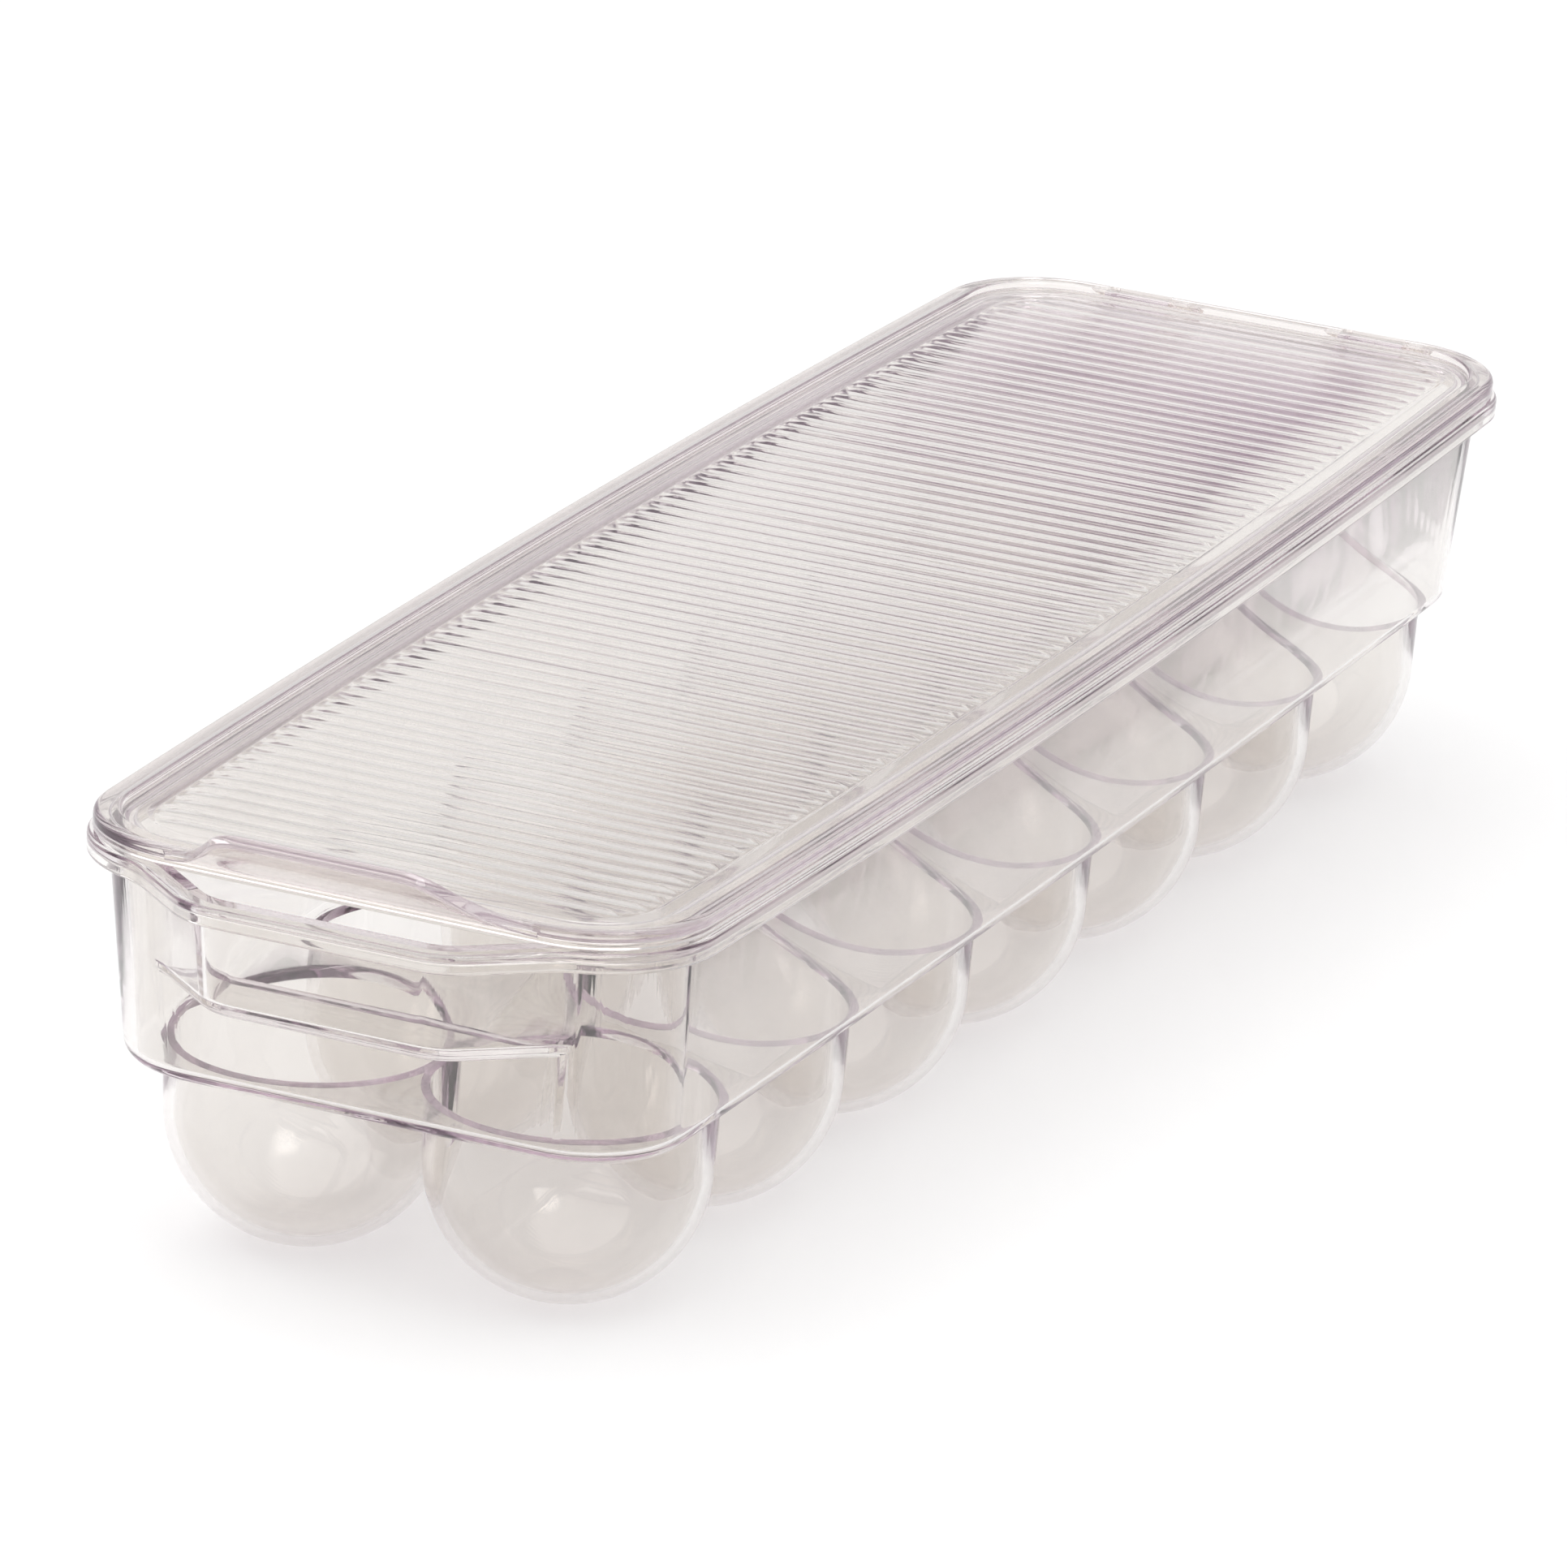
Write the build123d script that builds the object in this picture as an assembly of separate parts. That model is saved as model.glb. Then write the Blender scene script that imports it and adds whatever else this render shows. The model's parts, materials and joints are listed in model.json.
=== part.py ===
from build123d import *
import math
import os

# Egg keeper: a clear moulded bin with two rows of egg cups, a hollow pull
# at the front and a ribbed lid that flips up on two hinges at the back.
# +X is the right side, -Y the front, +Z up. Millimetres.

# ---- Bin: overall -------------------------------------------------------
RIM_LENGTH = 357.4        # over the rim, front to back, without the pull
RIM_WIDTH = 101.2         # over the rim at the corners
RIM_BOW = 3.2             # how far each long side swells at mid-length
RIM_CORNER = 20.0         # plan radius of the rim's corners
RIM_TOP = 68.0            # height of the rim's top face
RIM_DEPTH = 3.2           # height of the rim's turned-down edge
RIM_PLATE = 1.7           # thickness of the rim's top flange
RIM_LIP = 1.5             # thickness of the turned-down edge
RIM_OVERHANG = 3.1        # from the wall's outer face to the rim's edge
WALL = 1.8                # side wall thickness

# ---- Bin: egg tray ------------------------------------------------------
CUPS_PER_ROW = 7
CUP_PITCH_Y = 48.2        # spacing along a row
CUP_PITCH_X = 43.9        # spacing of the two rows
CUP_RADIUS = 22.2         # outer radius of a cup's round bottom
CUP_DRAFT = 0.4           # growth of that radius up to the tray
CUP_WALL = 1.6
CUP_FOOT = 5.0            # radius of the flat that a cup stands on
CUP_MOUTH = 0.7           # rounding at the mouth of a cup
CUP_SHIFT = 1.5           # the cups sit this far behind the middle
TRAY_Z = 31.4             # underside of the tray between the cups
TRAY_PLATE = 1.7
TRAY_LENGTH = 342.4       # outer length of the wall at the tray
TRAY_WIDTH = 91.2         # outer width of the wall at the tray's corners
TRAY_BOW = 1.5
TRAY_CORNER = 16.5
TRAY_EDGE = 2.6           # rounding along the wall's bottom edge
SEAM_RISE = 0.6           # the cups' nodes end this far above the tray

# ---- Bin: front pull ----------------------------------------------------
PULL_REACH = 11.7         # how far the pull stands out from the rim
PULL_SIDE = 29.6          # from the rim's side to its straight front
PULL_SLOPE = 14.0         # width of each slanted side
PULL_BEND = 13.0          # plan radius of its soft corners
PULL_UNDER = 49.0         # height of its underside
PULL_EDGE = 1.6           # rounding along its bottom edge
PULL_SINK = 0.2           # its base lies this far inside the wall's face
TAB_RUN = 6.0             # a tab's plan runs this far into its outline

# ---- Lid ----------------------------------------------------------------
LID_GAP = 0.25            # between the rim and the closed lid
LID_INSET = 0.8           # the rim shows this much round the lid
LID_EDGE = 3.2            # height of the lid's edge
BEAD_WIDTH = 4.2          # raised bead along the edge
BEAD_SHELF = 2.5          # width of the edge's bottom, which lies over the rim
LID_PLATE = 1.6
LID_UNDERCUT = 0.7        # the plate's underside above the edge's bottom
PANEL_MARGIN = 8.0        # from the lid's edge to the ribbed panel
PANEL_DROP = 0.3
RIB_PITCH = 4.5
RIB_WIDTH = 3.0
RIB_HEIGHT = 0.45
KEY_CLEAR = 0.7           # between the locating rib and the bin's wall
KEY_WALL = 1.3
KEY_DEPTH = 2.3

# ---- Lid: front lip -----------------------------------------------------
LIP_REACH = 11.5
LIP_RISE = 8.9
LIP_SIDE = 33.6           # from the rim's side to the lip's straight front
LIP_SLOPE = 11.0
LIP_BEND = 8.0
LIP_CURVE = 0.42          # share of the rise reached at half the reach
LIP_WALL = 2.0

ROOT_SHARE = 0.95         # of the room beside a tab that its root bend may take

# ---- Hinges -------------------------------------------------------------
HINGE_SPACING = 44.0      # between the two hinges
HINGE_BACK = 4.4          # pin centre behind the rim
HINGE_DROP = 1.9          # pin centre below the rim's top
ARM_DROP = 0.8            # the arm's front end lies this far below the lid's top
PIN_RADIUS = 2.0
PIN_CLEAR = 0.06          # running clearance round the pin
BARREL_RADIUS = 3.1
BARREL_LENGTH = 12.0
LUG_RADIUS = 3.9
LUG_WIDTH = 2.6
LUG_CLEAR = 0.4           # between a lug and the barrel's end

# ---- Places worked out from the sizes -----------------------------------
FRONT = -RIM_LENGTH / 2 - PULL_REACH
LIP_FLAT = RIM_WIDTH - 2 * LIP_SIDE
HINGE_Y = RIM_LENGTH / 2 + HINGE_BACK
HINGE_Z = RIM_TOP - HINGE_DROP
BACK = HINGE_Y + LUG_RADIUS
CENTRE_Y = (FRONT + BACK) / 2
LID_Z = RIM_TOP + LID_GAP
LID_TOP = LID_Z + LID_EDGE
PLATE_Z = LID_Z + LID_UNDERCUT
PLATE_TOP = PLATE_Z + LID_PLATE
LID_FRONT = -RIM_LENGTH / 2 + LID_INSET
CUP_CENTRE_Z = math.sqrt(CUP_RADIUS**2 - CUP_FOOT**2)
TRAY_TOP = TRAY_Z + TRAY_PLATE


def outline(width, length, bow, corner):
    """Rounded rectangle whose long sides swell outward."""
    w = width / 2
    half = length / 2
    sides = [
        ThreePointArc((w, -half), (w + bow, 0), (w, half)),
        Line((w, half), (-w, half)),
        ThreePointArc((-w, half), (-w - bow, 0), (-w, -half)),
        Line((-w, -half), (w, -half)),
    ]
    face = make_face(sides)
    return fillet(face.vertices(), corner)


def rim_outline(inset):
    """The rim's outline without the pull, moved inward."""
    return outline(
        RIM_WIDTH - 2 * inset,
        RIM_LENGTH - 2 * inset,
        RIM_BOW,
        RIM_CORNER - inset,
    )


def wall_width(z):
    """Width between the wall's corners at a height."""
    t = (z - TRAY_Z) / (RIM_TOP - TRAY_Z)
    return TRAY_WIDTH + t * (RIM_WIDTH - 2 * RIM_OVERHANG - TRAY_WIDTH)


def wall_outline(z, inset):
    """The wall's outline at a height, between the tray's and the rim's."""
    t = (z - TRAY_Z) / (RIM_TOP - TRAY_Z)
    top_length = RIM_LENGTH - 2 * RIM_OVERHANG
    top_corner = RIM_CORNER - RIM_OVERHANG
    return outline(
        wall_width(z) - 2 * inset,
        TRAY_LENGTH + t * (top_length - TRAY_LENGTH) - 2 * inset,
        TRAY_BOW + t * (RIM_BOW - TRAY_BOW),
        TRAY_CORNER + t * (top_corner - TRAY_CORNER) - inset,
    )


def add_tab(face, front, flat, slope, reach, bend, inset):
    """Join a tab with slanted sides to the front of an outline.

    The tab's sides sweep in and out of the outline in two soft bends.
    """
    half_turn = math.tan(math.atan2(reach, slope) / 2)
    near = flat / 2 - inset * half_turn
    far = near + slope
    tip = front - reach
    root = front + TAB_RUN
    wide = far + TAB_RUN * slope / reach
    corners = [(-wide, root), (-near, tip), (near, tip), (wide, root)]
    tab = make_face(Polyline(*corners, close=True))
    joined = (face + tab).faces()[0]
    tips = [v for v in joined.vertices() if abs(v.Y - tip) < 0.01]
    joined = fillet(tips, bend - inset)

    straight = max(v.X for v in face.vertices() if abs(v.Y - front) < 0.01)
    root_bend = bend + inset
    if straight > far:
        root_bend = min(root_bend, ROOT_SHARE * (straight - far) / half_turn)
    roots = [
        joined.vertices().sort_by_distance(Vector(side * far, front, 0))[0]
        for side in (-1, 1)
    ]
    return fillet(roots, root_bend)


def rim_with_pull(inset):
    """The rim's outline with the pull, moved inward."""
    face = rim_outline(inset)
    front = face.bounding_box().min.Y
    flat = RIM_WIDTH - 2 * PULL_SIDE
    return add_tab(face, front, flat, PULL_SLOPE, PULL_REACH, PULL_BEND, inset)


def wall_with_pull(z, inset):
    """The pull's outline at a height, on a base that lies just inside the wall."""
    face = wall_outline(z, inset + PULL_SINK)
    front = face.bounding_box().min.Y
    flat = wall_width(z) + 2 * RIM_OVERHANG - 2 * PULL_SIDE
    reach = PULL_REACH + PULL_SINK
    return add_tab(face, front, flat, PULL_SLOPE, reach, PULL_BEND, RIM_OVERHANG + inset)


def slab(face, low, high):
    """Upright prism of a plan between two heights."""
    return extrude(Plane.XY.offset(low) * face, high - low)


def between(lower, low, upper, high):
    """Body with straight sides between two plans of the same form."""
    return loft([Plane.XY.offset(low) * lower, Plane.XY.offset(high) * upper], ruled=True)


def wall_body(inset, low):
    """Solid inside the tapered wall's face, without the pull."""
    return between(wall_outline(low, inset), low, wall_outline(RIM_TOP, inset), RIM_TOP)


def pull_body(inset, low):
    """Solid inside the wall's face round the pull, from low to the rim's top."""
    body = between(wall_with_pull(low, inset), low, wall_with_pull(RIM_TOP, inset), RIM_TOP)
    bottom = body.faces().sort_by(Axis.Z)[0]
    return fillet(bottom.edges(), PULL_EDGE - inset / 2)


def cup_row():
    """Places of the cups along a row, front to back."""
    first = CUP_SHIFT - CUP_PITCH_Y * (CUPS_PER_ROW - 1) / 2
    return [first + i * CUP_PITCH_Y for i in range(CUPS_PER_ROW)]


def at_cups(shape):
    """Copies of a shape at every cup of both rows."""
    return [
        Pos(x, y, 0) * shape
        for x in (-CUP_PITCH_X / 2, CUP_PITCH_X / 2)
        for y in cup_row()
    ]


def cup_outside():
    """Solid outside shape of a cup, with a small flat to stand on."""
    knee = (
        CUP_RADIUS * math.cos(math.radians(35)),
        CUP_CENTRE_Z - CUP_RADIUS * math.sin(math.radians(35)),
    )
    sides = [
        Line((0, 0), (CUP_FOOT, 0)),
        ThreePointArc((CUP_FOOT, 0), knee, (CUP_RADIUS, CUP_CENTRE_Z)),
        Line((CUP_RADIUS, CUP_CENTRE_Z), (CUP_RADIUS + CUP_DRAFT, TRAY_TOP)),
        Line((CUP_RADIUS + CUP_DRAFT, TRAY_TOP), (0, TRAY_TOP)),
        Line((0, TRAY_TOP), (0, 0)),
    ]
    return revolve(Plane.XZ * make_face(sides), Axis.Z)


def cup_inside():
    """The hollow of a cup, with its rounded mouth."""
    radius = CUP_RADIUS - CUP_WALL
    mouth = radius + CUP_DRAFT
    low = CUP_CENTRE_Z - radius
    knee = (
        radius * math.cos(math.radians(45)),
        CUP_CENTRE_Z - radius * math.sin(math.radians(45)),
    )
    turn = CUP_MOUTH * (1 - math.sin(math.radians(45)))
    above = TRAY_TOP + TRAY_PLATE
    sides = [
        ThreePointArc((0, low), knee, (radius, CUP_CENTRE_Z)),
        Line((radius, CUP_CENTRE_Z), (mouth, TRAY_TOP - CUP_MOUTH)),
        ThreePointArc(
            (mouth, TRAY_TOP - CUP_MOUTH),
            (mouth + turn, TRAY_TOP - turn),
            (mouth + CUP_MOUTH, TRAY_TOP),
        ),
        Line((mouth + CUP_MOUTH, TRAY_TOP), (mouth + CUP_MOUTH, above)),
        Line((mouth + CUP_MOUTH, above), (0, above)),
        Line((0, above), (0, low)),
    ]
    return revolve(Plane.XZ * make_face(sides), Axis.Z)


def hinge_places():
    """Middles of the two hinges."""
    return (-HINGE_SPACING / 2, HINGE_SPACING / 2)


def across(radius, length, x):
    """Cylinder along X about the hinge line."""
    return Pos(x, HINGE_Y, HINGE_Z) * Rot(0, 90, 0) * Cylinder(radius, length)


def make_lug(x):
    """Hinge lug of the bin: a plate with a round end and a bore."""
    root = RIM_LENGTH / 2 - RIM_LIP
    reach = HINGE_Y - root
    plate = Pos(x, root + reach / 2, HINGE_Z) * Box(LUG_WIDTH, reach, 2 * LUG_RADIUS)
    lug = plate + across(LUG_RADIUS, LUG_WIDTH, x)
    over = HINGE_Z + LUG_RADIUS - RIM_TOP
    trim = Pos(x, HINGE_Y, RIM_TOP + over / 2) * Box(2 * LUG_WIDTH, 4 * reach, over)
    return lug - trim - across(PIN_RADIUS + PIN_CLEAR, 2 * LUG_WIDTH, x)


def make_moulding():
    """The bin as it is moulded: tray, cups, walls, pull, rim and hinge lugs."""
    walls = wall_body(0, TRAY_Z)
    bottom = walls.faces().sort_by(Axis.Z)[0]
    shell = fillet(bottom.edges(), TRAY_EDGE) + pull_body(0, PULL_UNDER)

    rim_low = RIM_TOP - RIM_DEPTH
    rim = slab(rim_with_pull(0), rim_low, RIM_TOP)
    rim -= slab(rim_with_pull(RIM_LIP), rim_low, RIM_TOP - RIM_PLATE)
    shell += rim

    shell += at_cups(cup_outside())

    shell -= wall_body(WALL, TRAY_TOP)
    shell -= pull_body(WALL, PULL_UNDER + WALL)
    shell -= at_cups(cup_inside())

    step = (BARREL_LENGTH + LUG_WIDTH) / 2 + LUG_CLEAR
    for x in hinge_places():
        shell += make_lug(x - step)
        shell += make_lug(x + step)
    return shell


def block(x_range, y_range, z_range):
    """Box between two corners."""
    low = Vector(x_range[0], y_range[0], z_range[0])
    high = Vector(x_range[1], y_range[1], z_range[1])
    size = high - low
    return Pos(low + size / 2) * Box(size.X, size.Y, size.Z)


def split_moulding(moulding):
    """Part the bin into its egg cups and its walls, which meet face to face."""
    wide = RIM_WIDTH
    long = RIM_LENGTH
    seam = TRAY_TOP + SEAM_RISE
    tray = moulding & block((-wide, wide), (-long, long), (-TRAY_Z, seam))
    walls = moulding & block((-wide, wide), (-long, long), (seam, 2 * RIM_TOP))

    nodes = {}
    centres = cup_row()
    for side, x_range in (("left", (-wide, 0)), ("right", (0, wide))):
        for i, y in enumerate(centres):
            low = -long if i == 0 else y - CUP_PITCH_Y / 2
            high = long if i == CUPS_PER_ROW - 1 else y + CUP_PITCH_Y / 2
            cell = block(x_range, (low, high), (-TRAY_Z, RIM_TOP))
            nodes[f"egg_cup_{side}_{i + 1}"] = tray & cell

    end = RIM_LENGTH / 2 - RIM_CORNER - RIM_OVERHANG
    tall = (TRAY_Z, 2 * RIM_TOP)
    nodes["front_wall"] = walls & block((-wide, wide), (-long, -end), tall)
    nodes["back_wall"] = walls & block((-wide, wide), (end, long), tall)
    nodes["left_wall"] = walls & block((-wide, 0), (-end, end), tall)
    nodes["right_wall"] = walls & block((0, wide), (-end, end), tall)
    return nodes


def lid_outline(inset):
    """The lid's outline without the lip, moved inward."""
    return rim_outline(LID_INSET + inset)


def make_lip():
    """Front lip of the lid: a thin tab that curves forward and up."""
    tip_y = LID_FRONT - LIP_REACH
    tip_z = LID_TOP + LIP_RISE
    root_y = LID_FRONT + BEAD_WIDTH
    middle_y = (LID_FRONT + tip_y) / 2
    middle_z = LID_TOP + LIP_RISE * LIP_CURVE
    drop = LIP_WALL / math.cos(math.atan2(LIP_RISE, LIP_REACH))
    top = Spline((root_y, PLATE_TOP), (LID_FRONT, LID_TOP), (middle_y, middle_z), (tip_y, tip_z))
    under = Spline(
        (tip_y, tip_z - drop),
        (middle_y, middle_z - drop),
        (LID_FRONT, LID_TOP - drop),
        (root_y, PLATE_Z),
    )
    sides = [top, Line(top @ 1, under @ 0), under, Line(under @ 1, top @ 0)]
    section = Plane.YZ * make_face(sides)
    strip = extrude(section, RIM_WIDTH, both=True)
    face = lid_outline(0)
    plan = add_tab(face, LID_FRONT, LIP_FLAT, LIP_SLOPE, LIP_REACH, LIP_BEND, 0)
    return strip & slab(plan, LID_Z, tip_z)


def make_panel():
    """The lid's ribbed panel, with ribs running from side to side."""
    inset = LID_INSET + PANEL_MARGIN
    top = PLATE_TOP - PANEL_DROP
    plan = slab(lid_outline(PANEL_MARGIN), PLATE_Z, top + RIB_HEIGHT)
    half = RIM_LENGTH / 2 - inset
    count = int((2 * half - RIB_WIDTH) // RIB_PITCH)
    start = -count * RIB_PITCH / 2
    lines = []
    past = half + PANEL_MARGIN
    here = (-past, top)
    for i in range(count + 1):
        y = start + i * RIB_PITCH
        near = (y - RIB_WIDTH / 2, top)
        crest = (y, top + RIB_HEIGHT)
        far = (y + RIB_WIDTH / 2, top)
        lines.append(Line(here, near))
        lines.append(ThreePointArc(near, crest, far))
        here = far
    lines.append(Polyline(here, (past, top), (past, PLATE_Z), (-past, PLATE_Z), (-past, top)))
    section = Plane.YZ * make_face(lines)
    return extrude(section, RIM_WIDTH, both=True) & plan


def make_knuckle(x):
    """Barrel, arm and stub pins of the lid at one hinge.

    The arm's top falls from the lid's edge to the top of the barrel.
    """
    front = RIM_LENGTH / 2 - LID_INSET - BEAD_WIDTH / 2
    edge = RIM_LENGTH / 2 - LID_INSET
    side = Polyline(
        (front, LID_Z),
        (front, LID_TOP - ARM_DROP),
        (edge, LID_TOP - ARM_DROP),
        (HINGE_Y, HINGE_Z + BARREL_RADIUS),
        (HINGE_Y, LID_Z),
        close=True,
    )
    arm = Pos(x, 0, 0) * extrude(Plane.YZ * make_face(side), BARREL_LENGTH / 2, both=True)
    barrel = across(BARREL_RADIUS, BARREL_LENGTH, x)
    pin_length = BARREL_LENGTH + 2 * (LUG_CLEAR + LUG_WIDTH)
    return arm + barrel + across(PIN_RADIUS, pin_length, x)


def make_lid():
    """The lid: edge bead, ribbed panel, front lip and hinge barrels."""
    edge = slab(lid_outline(0), LID_Z, LID_TOP)
    edge -= slab(lid_outline(BEAD_WIDTH), PLATE_TOP, LID_TOP)
    edge -= slab(lid_outline(BEAD_SHELF), LID_Z, PLATE_Z)
    edge -= slab(lid_outline(PANEL_MARGIN), PLATE_Z, PLATE_TOP)
    lid = edge + make_panel() + make_lip()
    key_inset = RIM_OVERHANG + WALL + KEY_CLEAR
    key = slab(rim_outline(key_inset), LID_Z - KEY_DEPTH, PLATE_Z)
    key -= slab(rim_outline(key_inset + KEY_WALL), LID_Z - KEY_DEPTH, PLATE_Z)
    lid += key
    for x in hinge_places():
        lid += make_knuckle(x)
    return lid


def save(shape, name):
    """Write one sub-part, in the frame of the whole object."""
    export_step(Pos(0, -CENTRE_Y, 0) * shape, f"parts/{name}.step")


os.makedirs("parts", exist_ok=True)
for node_name, node in split_moulding(make_moulding()).items():
    save(node, node_name)
save(make_lid(), "lid")
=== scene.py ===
"""Clear egg keeper: one bin moulding and one ribbed lid moulding that flips up.

Sizes are millimetres in the bin's own frame: X across, -Y the front, Z up from
the feet of the cups, with the middle of the rim at the origin in plan.
"""
import json
import math

import bmesh
import bpy
from mathutils import Matrix, Vector


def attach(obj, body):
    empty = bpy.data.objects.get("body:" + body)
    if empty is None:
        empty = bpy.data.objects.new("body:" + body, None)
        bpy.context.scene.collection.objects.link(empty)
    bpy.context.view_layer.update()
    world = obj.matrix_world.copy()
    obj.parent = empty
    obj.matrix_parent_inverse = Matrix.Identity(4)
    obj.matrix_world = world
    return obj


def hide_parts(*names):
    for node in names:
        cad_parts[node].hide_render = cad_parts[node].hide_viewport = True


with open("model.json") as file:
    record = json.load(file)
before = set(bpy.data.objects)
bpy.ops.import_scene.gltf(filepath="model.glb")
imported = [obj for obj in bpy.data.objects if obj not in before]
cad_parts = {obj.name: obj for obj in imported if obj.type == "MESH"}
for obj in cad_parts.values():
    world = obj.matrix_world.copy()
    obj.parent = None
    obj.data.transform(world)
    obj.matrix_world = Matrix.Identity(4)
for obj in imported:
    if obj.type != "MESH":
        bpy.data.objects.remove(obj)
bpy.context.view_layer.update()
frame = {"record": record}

MM = 0.001

# ---- Bin ------------------------------------------------------------------
RIM_LENGTH = 357.4        # over the rim, front to back, without the pull
RIM_WIDTH = 101.2         # over the rim at the corners
RIM_BOW = 3.2             # how far each long side swells at mid-length
RIM_CORNER = 20.0         # plan radius of the rim's corners
RIM_TOP = 68.0            # height of the rim's top face
RIM_DEPTH = 3.2           # height of the rim's turned-down edge
RIM_PLATE = 1.7           # thickness of the rim's top flange
RIM_LIP = 1.5             # thickness of the turned-down edge
RIM_OVERHANG = 3.1        # from the wall's outer face to the rim's edge
RIM_ROUND = 0.7           # rounding of the rim's outer edges
MOUTH_ROUND = 0.5         # rounding of the bin's inner top edge
EDGE_ROUND = 0.4          # rounding of the rim's turned-down edge
WALL = 1.8                # side wall thickness
FLOOR_ROUND = 1.2         # rounding between the wall and the tray, inside

CUPS_PER_ROW = 7
CUP_PITCH_Y = 48.2        # spacing along a row
CUP_PITCH_X = 43.9        # spacing of the two rows
CUP_RADIUS = 22.2         # outer radius of a cup's round bottom
CUP_DRAFT = 0.4           # growth of that radius up to the tray
CUP_WALL = 1.6            # thickness of a cup
CUP_FOOT = 5.0            # radius of the flat that a cup stands on
CUP_MOUTH = 0.7           # rounding at the mouth of a cup
CUP_SHIFT = 1.5           # the cups sit this far behind the middle
TRAY_Z = 31.4             # underside of the tray between the cups
TRAY_PLATE = 1.7          # thickness of the tray
TRAY_LENGTH = 342.4       # outer length of the wall at the tray
TRAY_WIDTH = 91.2         # outer width of the wall at the tray's corners
TRAY_BOW = 1.5            # how far the wall's long sides swell at the tray
TRAY_CORNER = 16.5        # plan radius of the wall's corners at the tray
TRAY_EDGE = 2.6           # rounding along the wall's bottom edge

PULL_REACH = 11.7         # how far the pull stands out from the rim
PULL_SIDE = 29.6          # from the rim's side to its straight front
PULL_SLOPE = 14.0         # width of each slanted side
PULL_BEND = 13.0          # plan radius of its soft corners
PULL_UNDER = 49.0         # height of its underside
PULL_EDGE = 1.6           # rounding along its bottom edge
PULL_HOLLOW_EDGE = 0.7    # rounding along the bottom edge of the pull's hollow

# ---- Lid ------------------------------------------------------------------
LID_GAP = 0.25            # between the rim and the closed lid
LID_INSET = 0.8           # the rim shows this much round the lid
LID_EDGE = 3.2            # height of the lid's edge
LID_ROUND = 1.1           # rounding of the bead's outer top edge
LID_FOOT_ROUND = 0.4      # rounding of the edge's bottom corners
BEAD_WIDTH = 4.2          # raised bead along the edge
BEAD_ROUND = 0.7          # rounding of the bead's inner top edge
BEAD_SHELF = 2.5          # width of the edge's bottom, under the bead
LID_PLATE = 1.6           # thickness of the lid's plate
LID_UNDERCUT = 0.7        # the plate's underside above the edge's bottom
PANEL_MARGIN = 8.0        # from the lid's edge to the ribbed panel
PANEL_DROP = 0.3          # the ribbed panel lies this far below the margin
PANEL_STEP = 0.8          # width of the sloping step down to the panel
STEP_ROUND = 0.6          # rounding of that step's two bends
RIB_PITCH = 4.5           # spacing of the ribs
RIB_HEIGHT = 0.45         # height of a rib
RIB_SHARPNESS = 2         # above 1, the ribs are narrower than the grooves
RIB_INSET = 0.9           # between the panel's step and the ribs' ends
RIB_FADE = 3.2            # length over which a rib's end slopes down
KEY_CLEAR = 0.7           # between the locating rib and the bin's wall
KEY_WALL = 1.3            # thickness of the locating rib
KEY_DEPTH = 2.3           # its depth below the lid's edge
KEY_ROUND = 0.4           # rounding of its edges
CREASE_ROUND = 0.2        # rounding of the inner corners under the lid
BEAD_CREASE = 0.15        # rounding between the bead and the margin

LIP_REACH = 11.5          # how far the lip stands out from the lid
LIP_RISE = 8.9            # how far its tip rises above the lid
LIP_SIDE = 33.6           # from the rim's side to the lip's straight front
LIP_SLOPE = 11.0          # width of each slanted side
LIP_BEND = 8.0            # plan radius of its soft corners
LIP_CURVE = 0.42          # share of the rise reached at half the reach
LIP_WALL = 2.0            # thickness of the lip
LIP_EDGE = 0.4            # rounding of the lip's edges
LIP_ROOT = 1.6            # how far the lip reaches back into the bead
ROOT_SHARE = 0.95         # of the room beside a tab that its root bend may take

# ---- Hinges ---------------------------------------------------------------
HINGE_SPACING = 44.0      # between the two hinges
HINGE_BACK = 4.4          # pin centre behind the rim
HINGE_DROP = 1.9          # pin centre below the rim's top
PIN_RADIUS = 2.0          # radius of the stub pins
PIN_CLEAR = 0.06          # running clearance round the pin
BARREL_RADIUS = 3.1       # radius of the lid's hinge barrel
BARREL_LENGTH = 12.0      # length of that barrel
ARM_DROP = 0.8            # the arm's front end lies this far below the lid's top
LUG_RADIUS = 3.9          # radius of a lug's round end
LUG_WIDTH = 2.6           # thickness of a lug
LUG_CLEAR = 0.4           # between a lug and the barrel's end
PIN_BEVEL = 0.3           # bevel at the ends of the pins and barrels
BORE_BEVEL = 0.1          # bevel at the ends of the cutter of a lug's bore
SINK = 0.02               # keeps joined faces from lying in one plane

# ---- Places worked out from the sizes -------------------------------------
FRONT = -RIM_LENGTH / 2 - PULL_REACH
HINGE_Y = RIM_LENGTH / 2 + HINGE_BACK
HINGE_Z = RIM_TOP - HINGE_DROP
CENTRE_Y = (FRONT + HINGE_Y + LUG_RADIUS) / 2
LID_Z = RIM_TOP + LID_GAP
LID_TOP = LID_Z + LID_EDGE
PLATE_Z = LID_Z + LID_UNDERCUT
PLATE_TOP = PLATE_Z + LID_PLATE
PANEL_TOP = PLATE_TOP - PANEL_DROP
LID_FRONT = -RIM_LENGTH / 2 + LID_INSET
LIP_FLAT = RIM_WIDTH - 2 * LIP_SIDE
KEY_INSET = RIM_OVERHANG + WALL + KEY_CLEAR - LID_INSET
CUP_CENTRE_Z = math.sqrt(CUP_RADIUS**2 - CUP_FOOT**2)
TRAY_TOP = TRAY_Z + TRAY_PLATE

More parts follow.
